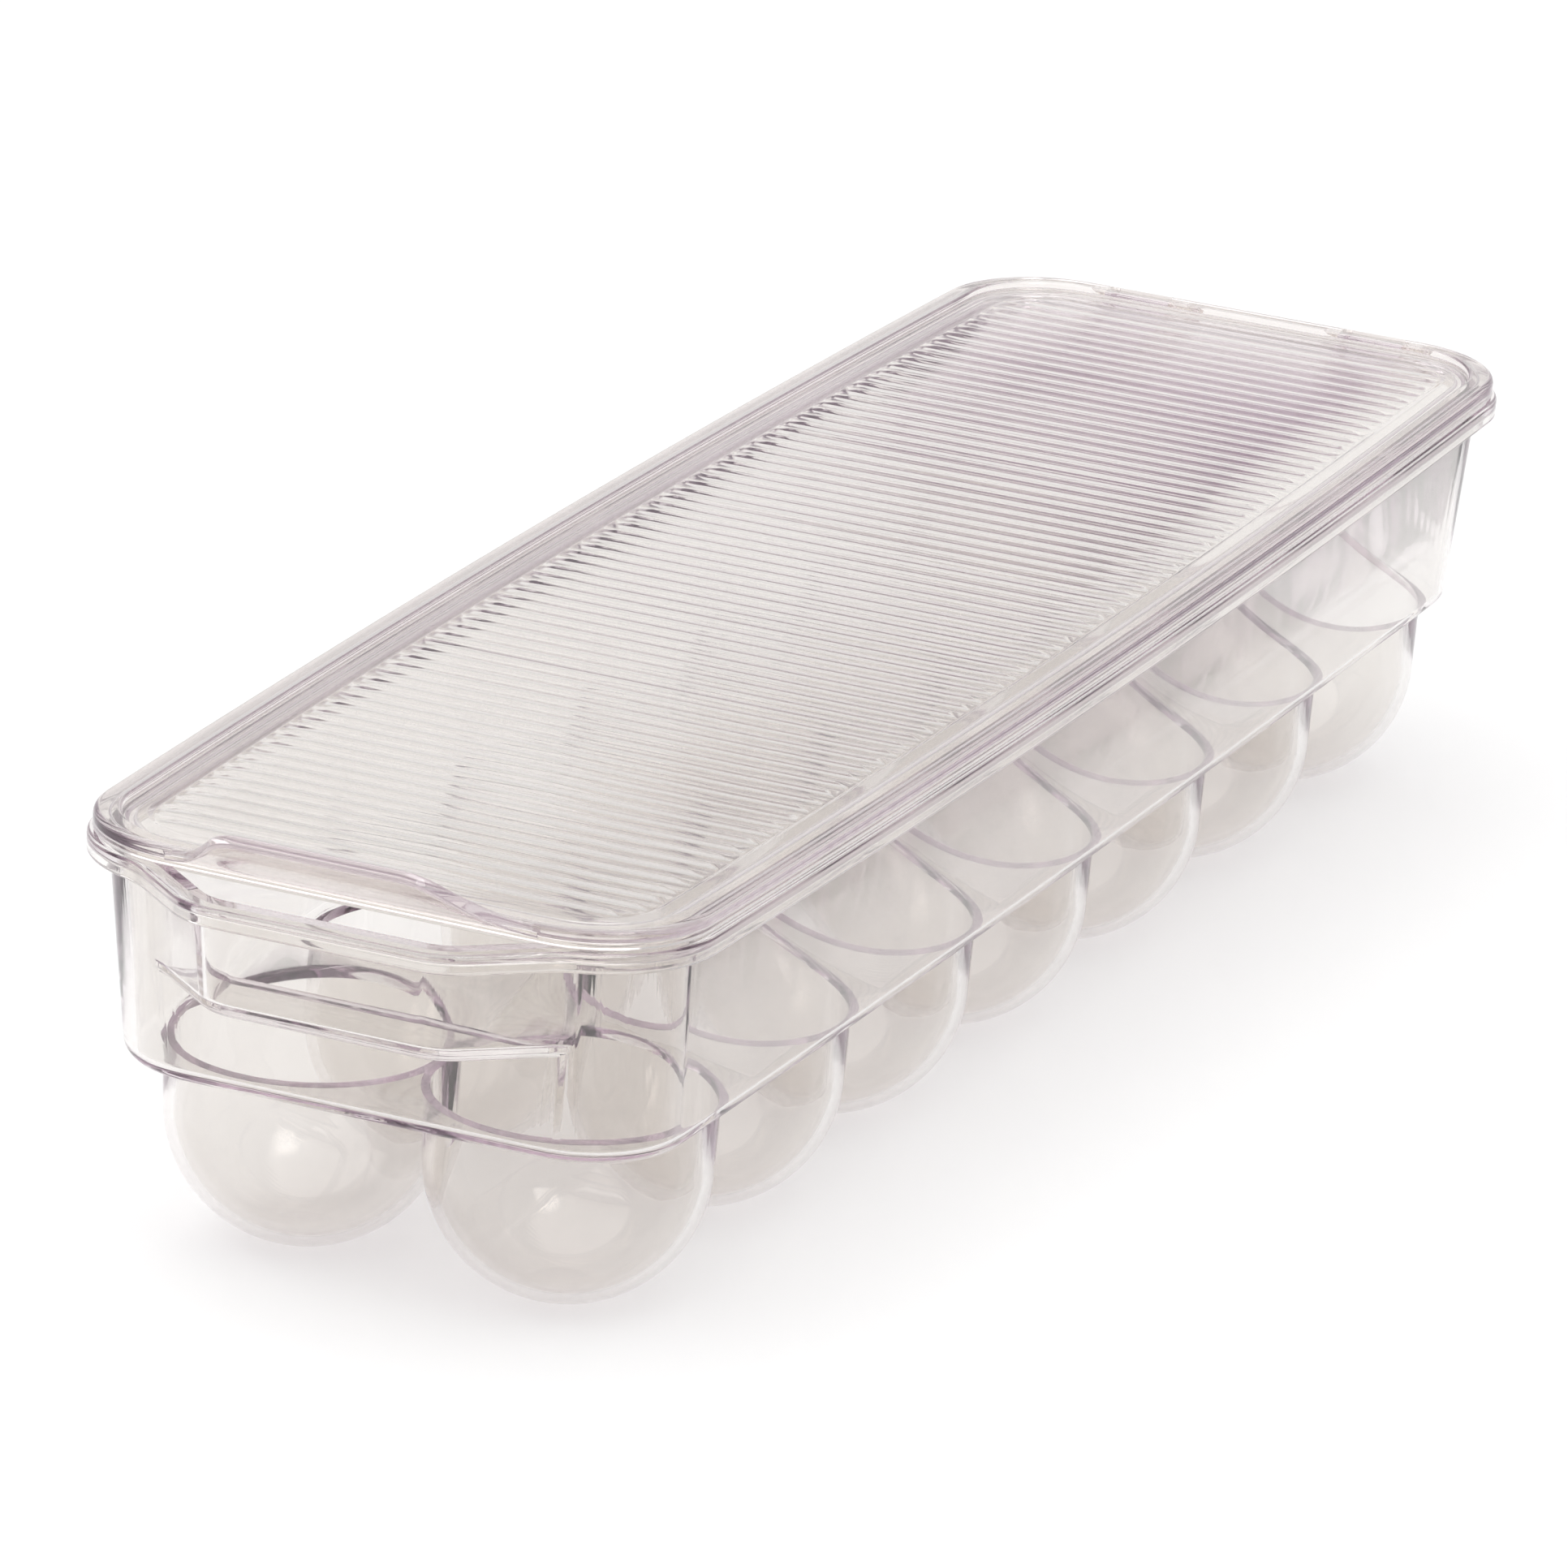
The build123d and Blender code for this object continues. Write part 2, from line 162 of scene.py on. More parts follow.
# ---- Fineness of the meshes -----------------------------------------------
FRONT_STEPS = 24          # along half of a straight front
CORNER_STEPS = 22         # round a corner
SIDE_STEPS = 60           # along half of a long side
BEND_STEPS = 16           # round a tab's soft corner
SLOPE_STEPS = 8           # along a tab's slanted side
ROUND_STEPS = 5           # round a small edge rounding
CUP_SEGMENTS = 128        # round a cup
CUP_STEPS = 28            # from a cup's foot to its widest level
RIB_STEPS = 12            # across one rib and its groove
PIN_SEGMENTS = 48         # round a pin
LIP_STEPS = 12            # from the lip's root to its edge
SMOOTH_ANGLE = math.radians(34)  # sharper edges than this stay edges
WELD = 0.001              # points nearer than this are one point
POLE = 0.3                # radius of the small flat that closes a round bottom


# ---- Looks ----------------------------------------------------------------
PLASTIC_IOR = 1.57
BIN_SURFACE = (0.915, 0.902, 0.880)  # tint of each crossing of a surface
BIN_DEPTH = (0.66, 0.54, 0.64)       # colour that is left by a long way through
BIN_DENSITY = 22.0                   # how soon the depth colour shows, per metre
BIN_ROUGHNESS = (0.0, 0.04)          # clearest and haziest places
# Lid tint of each crossing of a surface; its warmth beyond the bin's tint is painted warm
# light, standing in for light thrown back by eggs inside.
LID_TINT_AND_WARM_LIGHT = (0.930, 0.908, 0.877)
LID_DEPTH = (0.66, 0.54, 0.64)
LID_DENSITY = 30.0
LID_ROUGHNESS = (0.02, 0.07)
HAZE_SCALE = 40           # fineness of the haze
HAZE_DETAIL = 6
WAVE_SCALE = 25           # fineness of the moulding waves
WAVE_DETAIL = 2
WAVE_STRENGTH = 0.25
WAVE_HEIGHT = 0.05        # millimetres
LAMP_TINT = (0.985, 0.983, 0.983)    # of lamp light through each surface

# ---- Stage, light and camera, in metres and degrees -----------------------
FLOOR_SIZE = 40.0
FLOOR_GAP = 0.3           # millimetres between the feet and the floor
FLOOR_NEAR = 0.4          # the floor is plain paint up to here from the middle
FLOOR_FAR = 1.2           # and plain white from here on
FLOOR_COLOUR = (0.97, 0.97, 0.97)
FLOOR_ROUGHNESS = 0.9
FLOOR_SHINE = 0.1
WORLD_COLOUR = (1.0, 1.0, 1.0)
WORLD_STRENGTH = 0.63     # light from all round
WORLD_LOW = 0.15          # what is seen in the plastic is white below this height
WORLD_HIGH = 0.75         # and OVERHEAD above this one, on a sphere of radius 1
OVERHEAD = 0.62
KEY_PLACE = (-0.5, -0.6, 2.4)
KEY_SIZE = 4.0
KEY_POWER = 56
FILL_PLACE = (1.3, -1.1, 2.1)
FILL_SIZE = 0.9
FILL_POWER = 8
CAMERA_AZIMUTH = 23.221
CAMERA_ELEVATION = 18.941
CAMERA_ROLL = 3.484
CAMERA_DISTANCE = 1.8508
CAMERA_TARGET = (-0.00436, -0.00635, 0.03703)
CAMERA_LENS = 262.9       # millimetres, like the sensor
SENSOR = 36.0
BOUNCES = 64              # enough to pass the cups and walls one behind another
CLEAR_LAYERS = 32         # layers that a lamp's light may pass


# ---- Outlines in plan -----------------------------------------------------
def spread(start, end, count):
    """Evenly spaced values from start up to, but not including, end."""
    return [start + (end - start) * i / count for i in range(count)]


def arc(centre, radius, start, end, count):
    """Points round a centre, without the last one."""
    return [
        (centre[0] + radius * math.cos(a), centre[1] + radius * math.sin(a))
        for a in spread(start, end, count)
    ]


def rim_plan(inset):
    """Half width, half length, bow and corner radius of the rim's outline."""
    return (RIM_WIDTH / 2 - inset, RIM_LENGTH / 2 - inset, RIM_BOW, RIM_CORNER - inset)


def wall_plan(z, inset):
    """The same four sizes for the tapered wall at a height."""
    t = (z - TRAY_Z) / (RIM_TOP - TRAY_Z)
    tray = (TRAY_WIDTH / 2, TRAY_LENGTH / 2, TRAY_BOW, TRAY_CORNER)
    sizes = [low + t * (high - low) for low, high in zip(tray, rim_plan(RIM_OVERHANG))]
    return (sizes[0] - inset, sizes[1] - inset, sizes[2], sizes[3] - inset)


def lid_plan(inset):
    """The same four sizes for the lid's outline."""
    return rim_plan(LID_INSET + inset)


def arcs_of(plan):
    """Radius and middle of a long side's arc, middle of the corner and its last angle."""
    half_width, half_length, bow, corner = plan
    radius = (half_length**2 + bow**2) / (2 * bow)
    side_x = half_width + bow - radius
    corner_y = corner - half_length
    corner_x = side_x + math.sqrt((radius - corner) ** 2 - corner_y**2)
    turn = math.atan2(corner_y, corner_x - side_x)
    return radius, side_x, (corner_x, corner_y), turn


def quarter(plan):
    """Front right quarter of an outline, from the middle of the front."""
    radius, side_x, centre, turn = arcs_of(plan)
    front = [(x, -plan[1]) for x in spread(0, centre[0], FRONT_STEPS)]
    corner = arc(centre, plan[3], -math.pi / 2, turn, CORNER_STEPS)
    side = arc((side_x, 0), radius, turn, 0, SIDE_STEPS)
    return front + corner + side


class Tab:
    """A tab with slanted sides and soft bends at the front of an outline."""

    def __init__(self, plan, flat, slope, reach, bend, inset):
        half_length, corner = plan[1], plan[3]
        _, _, self.centre, _ = arcs_of(plan)
        self.angle = math.atan2(reach, slope)
        half_turn = math.tan(self.angle / 2)
        near = flat / 2 - inset * half_turn
        tip_y = -half_length - reach
        self.tip_bend = bend - inset
        self.tip = (near - self.tip_bend * half_turn, tip_y + self.tip_bend)

        # The root bend ends on the straight front if there is room for it there,
        # and otherwise on the round corner of the outline.
        self.root_bend = bend + inset
        room = self.centre[0] - near - slope
        if room > 0:
            self.root_bend = min(self.root_bend, ROOT_SHARE * room / half_turn)
        along = (math.cos(self.angle), math.sin(self.angle))
        out = (along[1], -along[0])
        start = (near + self.root_bend * out[0], tip_y + self.root_bend * out[1])
        if room > 0:
            step = (-half_length - self.root_bend - start[1]) / along[1]
            self.end = -math.pi / 2
        else:
            gap = (start[0] - self.centre[0], start[1] - self.centre[1])
            lean = gap[0] * along[0] + gap[1] * along[1]
            span = (corner + self.root_bend) ** 2 - gap[0] ** 2 - gap[1] ** 2
            step = -lean - math.sqrt(lean**2 + span)
            self.end = None
        self.root = (start[0] + step * along[0], start[1] + step * along[1])
        if self.end is None:
            self.end = math.atan2(
                self.root[1] - self.centre[1], self.root[0] - self.centre[0]
            )

    def curve(self):
        """The tab's right half, from its middle to where it meets the outline."""
        flat_y = self.tip[1] - self.tip_bend
        points = [(x, flat_y) for x in spread(0, self.tip[0], FRONT_STEPS)]
        lean = self.angle - math.pi / 2
        points += arc(self.tip, self.tip_bend, -math.pi / 2, lean, BEND_STEPS)
        low = arc(self.tip, self.tip_bend, lean, lean, 1)[0]
        bend_start, bend_end = self.angle + math.pi / 2, self.end + math.pi
        high = arc(self.root, self.root_bend, bend_start, 0, 1)[0]
        slope = [spread(a, b, SLOPE_STEPS) for a, b in zip(low, high)]
        points += list(zip(*slope))
        points += arc(self.root, self.root_bend, bend_start, bend_end, BEND_STEPS)
        return points


def tabbed_quarter(plan, tab):
    """Front right quarter of an outline with a tab."""
    radius, side_x, centre, turn = arcs_of(plan)
    corner = arc(centre, plan[3], tab.end, turn, CORNER_STEPS)
    side = arc((side_x, 0), radius, turn, 0, SIDE_STEPS)
    return tab.curve() + corner + side


def whole(front, back, side_x):
    """Closed outline from the front right and the back right quarters."""
    side = [(side_x, 0)]
    right = front + side + [(x, -y) for x, y in reversed(back)]
    return right + [(-x, y) for x, y in reversed(right[1:-1])]


def plain_outline(plan):
    """Closed outline with bowed sides and round corners."""
    part = quarter(plan)
    return whole(part, part, plan[0] + plan[2])


def rim_with_pull(inset):
    """The rim's outline with the pull, moved inward."""
    plan = rim_plan(inset)
    flat = RIM_WIDTH - 2 * PULL_SIDE
    tab = Tab(plan, flat, PULL_SLOPE, PULL_REACH, PULL_BEND, inset)
    return whole(tabbed_quarter(plan, tab), quarter(plan), plan[0] + plan[2])


def wall_with_pull(z, inset):
    """The pull's outline at a height, on a base that lies just inside the wall."""
    plan = wall_plan(z, inset + SINK)
    flat = 2 * (wall_plan(z, 0)[0] + RIM_OVERHANG - PULL_SIDE)
    reach = PULL_REACH + SINK
    tab = Tab(plan, flat, PULL_SLOPE, reach, PULL_BEND, RIM_OVERHANG + inset)
    return whole(tabbed_quarter(plan, tab), quarter(plan), plan[0] + plan[2])


# ---- Solids ---------------------------------------------------------------
def to_object(name, points, faces):
    """Mesh object from points in millimetres in the bin's own frame."""
    mesh = bpy.data.meshes.new(name)
    places = [(x * MM, (y - CENTRE_Y) * MM, z * MM) for x, y, z in points]
    mesh.from_pydata(places, [], faces)
    body = bmesh.new()
    body.from_mesh(mesh)
    bmesh.ops.recalc_face_normals(body, faces=body.faces)
    body.to_mesh(mesh)
    body.free()
    made = bpy.data.objects.new(name, mesh)
    bpy.context.scene.collection.objects.link(made)
    return made


def skin(name, rings):
    """Closed solid through rings of equally many points, capped at both ends."""
    count = len(rings[0])
    points = [p for ring in rings for p in ring]
    faces = []
    for k in range(len(rings) - 1):
        low, high = k * count, (k + 1) * count
        for i in range(count):
            j = (i + 1) % count
            faces.append((low + i, low + j, high + j, high + i))
    last = (len(rings) - 1) * count
    faces.append(tuple(reversed(range(count))))
    faces.append(tuple(range(last, last + count)))
    return to_object(name, points, faces)


def flat_ring(outline, z):
    """An outline lifted to a height."""
    return [(x, y, z) for x, y in outline]


def rounded_path(*corners):
    """Path through (across, up, radius) corners, with a round bend at each."""
    points = [corners[0][:2]]
    for before, corner, after in zip(corners, corners[1:], corners[2:]):
        here = Vector(corner[:2])
        back = (Vector(before[:2]) - here).normalized()
        ahead = (Vector(after[:2]) - here).normalized()
        half = back.angle(ahead) / 2
        centre = here + (back + ahead).normalized() * corner[2] / math.sin(half)
        start = here + back * corner[2] / math.tan(half) - centre
        turn = math.copysign(math.pi - 2 * half, back.cross(ahead))
        for i in range(ROUND_STEPS + 1):
            a = -turn * i / ROUND_STEPS
            spoke = Matrix.Rotation(a, 2) @ start
            points.append(tuple(centre + spoke))
    points.append(corners[-1][:2])
    return points


def combine(base, operation, parts):
    """Join parts to a solid, or cut them out of it, one after another."""
    for part in parts:
        step = base.modifiers.new("step", "BOOLEAN")
        step.operation = operation
        step.solver = "MANIFOLD"
        step.object = part
    graph = bpy.context.evaluated_depsgraph_get()
    mesh = bpy.data.meshes.new_from_object(base.evaluated_get(graph))
    base.modifiers.clear()
    base.data = mesh
    for part in parts:
        bpy.data.objects.remove(part)
    return base


def finish_mesh(made):
    """Drop slivers and shade the surface smooth between its edges."""
    body = bmesh.new()
    body.from_mesh(made.data)
    bmesh.ops.remove_doubles(body, verts=body.verts, dist=WELD * MM)
    bmesh.ops.dissolve_degenerate(body, dist=WELD * MM, edges=body.edges)
    body.to_mesh(made.data)
    body.free()
    made.data.materials.clear()
    made.data.polygons.foreach_set("material_index", [0] * len(made.data.polygons))
    made.data.shade_smooth()
    made.data.set_sharp_from_angle(angle=SMOOTH_ANGLE)
    return made


def revolved(name, x, y, profile):
    """Solid of revolution about an upright line, from (radius, z) pairs."""
    turns = spread(0, 2 * math.pi, CUP_SEGMENTS)
    rings = [
        [(x + r * math.cos(a), y + r * math.sin(a), z) for a in turns]
        for r, z in profile
    ]
    return skin(name, rings)


def rod(name, radius, x_range, bevel):
    """Round bar on the hinge line with bevelled ends."""
    ends = [
        (x_range[0], radius - bevel),
        (x_range[0] + bevel, radius),
        (x_range[1] - bevel, radius),
        (x_range[1], radius - bevel),
    ]
    turns = spread(0, 2 * math.pi, PIN_SEGMENTS)
    rings = [
        [(x, HINGE_Y + r * math.cos(a), HINGE_Z + r * math.sin(a)) for a in turns]
        for x, r in ends
    ]
    return skin(name, rings)


def bar(name, x_range, section):
    """Straight bar along X from a closed section of (y, z) points."""
    return skin(name, [[(x, y, z) for y, z in section] for x in x_range])


# ---- Bin ------------------------------------------------------------------
def wall_solid(name, path):
    """Solid inside the tapered wall, from (inset, z) pairs."""
    return skin(name, [flat_ring(plain_outline(wall_plan(z, d)), z) for d, z in path])


def pull_solid(name, path):
    """Solid inside the wall with the pull, from (inset, z) pairs."""
    return skin(name, [flat_ring(wall_with_pull(z, d), z) for d, z in path])


def make_rim():
    """Flat flange with a turned-down edge."""
    under = RIM_TOP - RIM_PLATE
    low = RIM_TOP - RIM_DEPTH
    path = rounded_path(
        (2 * RIM_OVERHANG, under, 0),
        (RIM_LIP, under, EDGE_ROUND),
        (RIM_LIP, low, EDGE_ROUND),
        (0, low, EDGE_ROUND),
        (0, RIM_TOP, RIM_ROUND),
        (2 * RIM_OVERHANG, RIM_TOP, 0),
    )
    return skin("rim", [flat_ring(rim_with_pull(d), z) for d, z in path])


def cup_places():
    """Middles of all cups in plan."""
    first = CUP_SHIFT - CUP_PITCH_Y * (CUPS_PER_ROW - 1) / 2
    return [
        (x, first + i * CUP_PITCH_Y)
        for x in (-CUP_PITCH_X / 2, CUP_PITCH_X / 2)
        for i in range(CUPS_PER_ROW)
    ]


def bowl(radius, foot):
    """Round bottom as (radius, z) pairs, from the foot up to the widest level."""
    start = math.asin(foot / radius)
    return [
        (radius * math.sin(a), CUP_CENTRE_Z - radius * math.cos(a))
        for a in spread(start, math.pi / 2, CUP_STEPS)
    ]


def cup_outside(x, y):
    """Outer form of a cup, which ends inside the tray."""
    top = TRAY_Z + TRAY_PLATE / 2
    profile = bowl(CUP_RADIUS, CUP_FOOT) + [
        (CUP_RADIUS, CUP_CENTRE_Z),
        (CUP_RADIUS + CUP_DRAFT, top),
    ]
    return revolved("cup", x, y, profile)


def cup_inside(x, y):
    """Hollow of a cup, with a rounded mouth."""
    radius = CUP_RADIUS - CUP_WALL
    mouth = radius + CUP_DRAFT
    brim = TRAY_TOP + SINK
    profile = bowl(radius, POLE) + rounded_path(
        (radius, CUP_CENTRE_Z, 0),
        (mouth, brim, CUP_MOUTH),
        (mouth + 2 * CUP_MOUTH, brim, 0),
    )
    profile.append((mouth + 2 * CUP_MOUTH, brim + 2 * CUP_MOUTH))
    return revolved("cup_hollow", x, y, profile)


def make_lug(x):
    """Hinge lug behind the rim, with a round end."""
    root = RIM_LENGTH / 2 - RIM_LIP / 2
    top = RIM_TOP - SINK
    ease = math.asin((top - HINGE_Z) / LUG_RADIUS)
    end = arc((HINGE_Y, HINGE_Z), LUG_RADIUS, ease, -math.pi / 2, PIN_SEGMENTS // 2)
    section = [(root, top)] + end + [
        (HINGE_Y, HINGE_Z - LUG_RADIUS),
        (root, HINGE_Z - LUG_RADIUS),
    ]
    return bar("lug", (x - LUG_WIDTH / 2, x + LUG_WIDTH / 2), section)


def hinge_places():
    """Middles of the two hinges."""
    return (-HINGE_SPACING / 2, HINGE_SPACING / 2)


def make_bin():
    """The whole bin as one moulding."""
    inside_rim = RIM_TOP - RIM_PLATE / 2
    brim = RIM_TOP + SINK
    # The cutters widen above the brim, which leaves the rounding of the mouth.
    flare = WALL - 4 * MOUTH_ROUND
    above = RIM_TOP + RIM_DEPTH
    made = wall_solid(
        "bin_moulding",
        rounded_path(
            (2 * TRAY_EDGE, TRAY_Z, 0),
            (0, TRAY_Z, TRAY_EDGE),
            (0, inside_rim, 0),
        ),
    )
    pull = pull_solid(
        "pull",
        rounded_path(
            (2 * PULL_EDGE, PULL_UNDER, 0),
            (0, PULL_UNDER, PULL_EDGE),
            (0, inside_rim, 0),
        ),
    )
    step = (BARREL_LENGTH + LUG_WIDTH) / 2 + LUG_CLEAR
    lugs = [make_lug(x + side * step) for x in hinge_places() for side in (-1, 1)]
    cups = [cup_outside(x, y) for x, y in cup_places()]
    combine(made, "UNION", [pull, make_rim()] + lugs + cups)

    hollow = wall_solid(
        "hollow",
        rounded_path(
            (WALL + 2 * FLOOR_ROUND, TRAY_TOP, 0),
            (WALL, TRAY_TOP, FLOOR_ROUND),
            (WALL, brim, MOUTH_ROUND),
            (flare, brim, 0),
        )
        + [(flare, above)],
    )
    pull_hollow = pull_solid(
        "pull_hollow",
        rounded_path(
            (2 * WALL, PULL_UNDER + WALL, 0),
            (WALL, PULL_UNDER + WALL, PULL_HOLLOW_EDGE),
            (WALL, brim, MOUTH_ROUND),
            (flare, brim, 0),
        )
        + [(flare, above)],
    )
    bores = [
        rod("bore", PIN_RADIUS + PIN_CLEAR, (x - 2 * step, x + 2 * step), BORE_BEVEL)
        for x in hinge_places()
    ]
    holes = [cup_inside(x, y) for x, y in cup_places()]
    combine(made, "DIFFERENCE", [hollow, pull_hollow] + bores + holes)
    return finish_mesh(made)


# ---- Lid ------------------------------------------------------------------
def make_lid_plate():
    """Edge bead, smooth margin and locating rib of the lid."""
    key_low = LID_Z - KEY_DEPTH
    path = rounded_path(
        (KEY_INSET + KEY_WALL + KEY_ROUND, PLATE_Z, 0),
        (KEY_INSET + KEY_WALL, PLATE_Z, KEY_ROUND),
        (KEY_INSET + KEY_WALL, key_low, KEY_ROUND),
        (KEY_INSET, key_low, KEY_ROUND),
        (KEY_INSET, PLATE_Z, CREASE_ROUND),
        (BEAD_SHELF, PLATE_Z, CREASE_ROUND),
        (BEAD_SHELF, LID_Z, LID_FOOT_ROUND / 2),
        (0, LID_Z, LID_FOOT_ROUND),
        (0, LID_TOP, LID_ROUND),
        (BEAD_WIDTH, LID_TOP, BEAD_ROUND),
        (BEAD_WIDTH, PLATE_TOP, BEAD_CREASE),
        (PANEL_MARGIN, PLATE_TOP, STEP_ROUND),
        (PANEL_MARGIN + PANEL_STEP, PANEL_TOP, STEP_ROUND),
        (PANEL_MARGIN + 3 * PANEL_STEP, PANEL_TOP, 0),
    )
    return skin("lid_moulding", [flat_ring(plain_outline(lid_plan(d)), z) for d, z in path])


def make_ribs():
    """Fluted layer on the lid's panel."""
    floor = PLATE_Z + LID_PLATE / 2
    inset = PANEL_MARGIN + RIB_INSET
    half = RIM_LENGTH / 2 - LID_INSET - inset
    count = int(2 * half / RIB_PITCH) + 1
    reach = count * RIB_PITCH / 2
    crest = [
        (-reach + RIB_PITCH * k / RIB_STEPS, -math.cos(2 * math.pi * k / RIB_STEPS))
        for k in range(count * RIB_STEPS + 1)
    ]
    section = [
        (y, PANEL_TOP - SINK + RIB_HEIGHT * ((1 + wave) / 2) ** RIB_SHARPNESS)
        for y, wave in crest
    ]
    section += [(reach, floor), (-reach, floor)]
    ribs = bar("ribs", (-RIM_WIDTH, RIM_WIDTH), section)
    foot = PANEL_TOP - SINK
    ends = [(0, floor - 1), (0, foot), (RIB_FADE, foot + RIB_HEIGHT), (RIB_FADE, LID_TOP)]
    trim = skin(
        "trim", [flat_ring(plain_outline(lid_plan(inset + d)), z) for d, z in ends]
    )
    return combine(ribs, "INTERSECT", [trim])


def lip_height(y):
    """Height and slope of the lip's middle surface, which curls up towards its tip."""
    q = (LID_FRONT - y) / LIP_REACH
    curl = 4 * (0.5 - LIP_CURVE)
    rise = LIP_RISE * ((1 - curl) * q + curl * q * abs(q))
    slope = -LIP_RISE / LIP_REACH * (1 - curl + 2 * curl * abs(q))
    drop = LIP_WALL / 2 * math.sqrt(1 + slope**2)
    return LID_TOP + rise - drop, slope


def lip_point(x, y, lift):
    """A point off the lip's middle surface, at a distance along its normal."""
    z, slope = lip_height(y)
    size = math.sqrt(1 + slope**2)
    return (x, y - lift * slope / size, z + lift / size)


def make_lip():
    """Front lip of the lid: a thin curved tab with softened edges."""
    half = LIP_WALL / 2
    angles = [math.pi / 2 * k / ROUND_STEPS for k in range(ROUND_STEPS + 1)]
    lifts = [half - LIP_EDGE * (1 - math.cos(a)) for a in angles]
    curves = []
    for a in angles:
        inset = LIP_EDGE * (1 - math.sin(a))
        tab = Tab(lid_plan(inset), LIP_FLAT, LIP_SLOPE, LIP_REACH, LIP_BEND, inset)
        right = tab.curve()
        curves.append([(-x, y) for x, y in reversed(right[1:])] + right)
    back = LID_FRONT + LIP_ROOT
    loops = []
    for spots in zip(*curves):
        x, start = spots[0]
        depth = spread(back, start, LIP_STEPS)
        upper = [lip_point(x, y, half) for y in depth]
        lower = [lip_point(x, y, -half) for y in depth]
        upper += [lip_point(*spot, lift) for spot, lift in zip(spots, lifts)]
        lower += [lip_point(*spot, -lift) for spot, lift in zip(spots, lifts)]
        loops.append(upper + list(reversed(lower)))
    return skin("lip", loops)


def make_knuckle(x):
    """Arm, barrel and stub pins of the lid at one hinge."""
    half = BARREL_LENGTH / 2
    edge = RIM_LENGTH / 2 - LID_INSET
    low = LID_Z + SINK
    high = LID_TOP - ARM_DROP
    section = [
        (edge - BEAD_WIDTH / 2, low),
        (edge - BEAD_WIDTH / 2, high),
        (edge, high),
        (HINGE_Y, HINGE_Z + BARREL_RADIUS - SINK),
        (HINGE_Y, low),
    ]
    pin = half + LUG_CLEAR + LUG_WIDTH
    return [
        bar("arm", (x - half, x + half), section),
        rod("barrel", BARREL_RADIUS, (x - half - SINK, x + half + SINK), PIN_BEVEL),
        rod("pin", PIN_RADIUS, (x - pin, x + pin), PIN_BEVEL),
    ]


def make_lid():
    """The whole lid as one moulding."""
    made = make_lid_plate()
    parts = [make_ribs(), make_lip()]
    for x in hinge_places():
        parts += make_knuckle(x)
    combine(made, "UNION", parts)
    return finish_mesh(made)


# ---- Materials ------------------------------------------------------------
def clear_plastic(name, surface, absorb, density, roughness):
    """Clear moulded plastic: tinted along its depth, with faint moulding waves."""
    made = bpy.data.materials.new(name)
    made.use_nodes = True
    tree = made.node_tree
    shader = tree.nodes["Principled BSDF"]
    output = tree.nodes["Material Output"]
    # For the lid this base colour holds the plastic's tint and also painted warm light from
    # eggs inside.
    shader.inputs["Base Color"].default_value = (*surface, 1)
    shader.inputs["IOR"].default_value = PLASTIC_IOR
    shader.inputs["Transmission Weight"].default_value = 1.0

    place = tree.nodes.new("ShaderNodeTexCoord")
    haze = tree.nodes.new("ShaderNodeTexNoise")
    haze.inputs["Scale"].default_value = HAZE_SCALE
    haze.inputs["Detail"].default_value = HAZE_DETAIL
    dullness = tree.nodes.new("ShaderNodeMapRange")
    dullness.inputs["To Min"].default_value = roughness[0]
    dullness.inputs["To Max"].default_value = roughness[1]
    tree.links.new(place.outputs["Object"], haze.inputs["Vector"])
    tree.links.new(haze.outputs["Fac"], dullness.inputs["Value"])
    tree.links.new(dullness.outputs["Result"], shader.inputs["Roughness"])

    wave = tree.nodes.new("ShaderNodeTexNoise")
    wave.inputs["Scale"].default_value = WAVE_SCALE
    wave.inputs["Detail"].default_value = WAVE_DETAIL
    bump = tree.nodes.new("ShaderNodeBump")
    bump.inputs["Strength"].default_value = WAVE_STRENGTH
    bump.inputs["Distance"].default_value = WAVE_HEIGHT * MM
    tree.links.new(place.outputs["Object"], wave.inputs["Vector"])
    tree.links.new(wave.outputs["Fac"], bump.inputs["Height"])
    tree.links.new(bump.outputs["Normal"], shader.inputs["Normal"])

    depth = tree.nodes.new("ShaderNodeVolumeAbsorption")
    depth.inputs["Color"].default_value = (*absorb, 1)
    depth.inputs["Density"].default_value = density
    tree.links.new(depth.outputs["Volume"], output.inputs["Volume"])

    rays = tree.nodes.new("ShaderNodeLightPath")
    open_to_lamps = tree.nodes.new("ShaderNodeBsdfTransparent")
    open_to_lamps.inputs["Color"].default_value = (*LAMP_TINT, 1)
    mix = tree.nodes.new("ShaderNodeMixShader")
    tree.links.new(rays.outputs["Is Shadow Ray"], mix.inputs["Fac"])
    tree.links.new(shader.outputs["BSDF"], mix.inputs[1])
    tree.links.new(open_to_lamps.outputs["BSDF"], mix.inputs[2])
    tree.links.new(mix.outputs["Shader"], output.inputs["Surface"])
    return made


# ---- Stage, light and camera ----------------------------------------------
def seen_sharply(tree):
    """One for rays that show what is behind: straight, mirrored or through the plastic."""
    rays = tree.nodes.new("ShaderNodeLightPath")
    value = rays.outputs["Is Camera Ray"]
    for kind in ("Is Glossy Ray", "Is Transmission Ray"):
        either = tree.nodes.new("ShaderNodeMath")
        either.operation = "MAXIMUM"
        tree.links.new(value, either.inputs[0])
        tree.links.new(rays.outputs[kind], either.inputs[1])
        value = either.outputs[0]
    return value


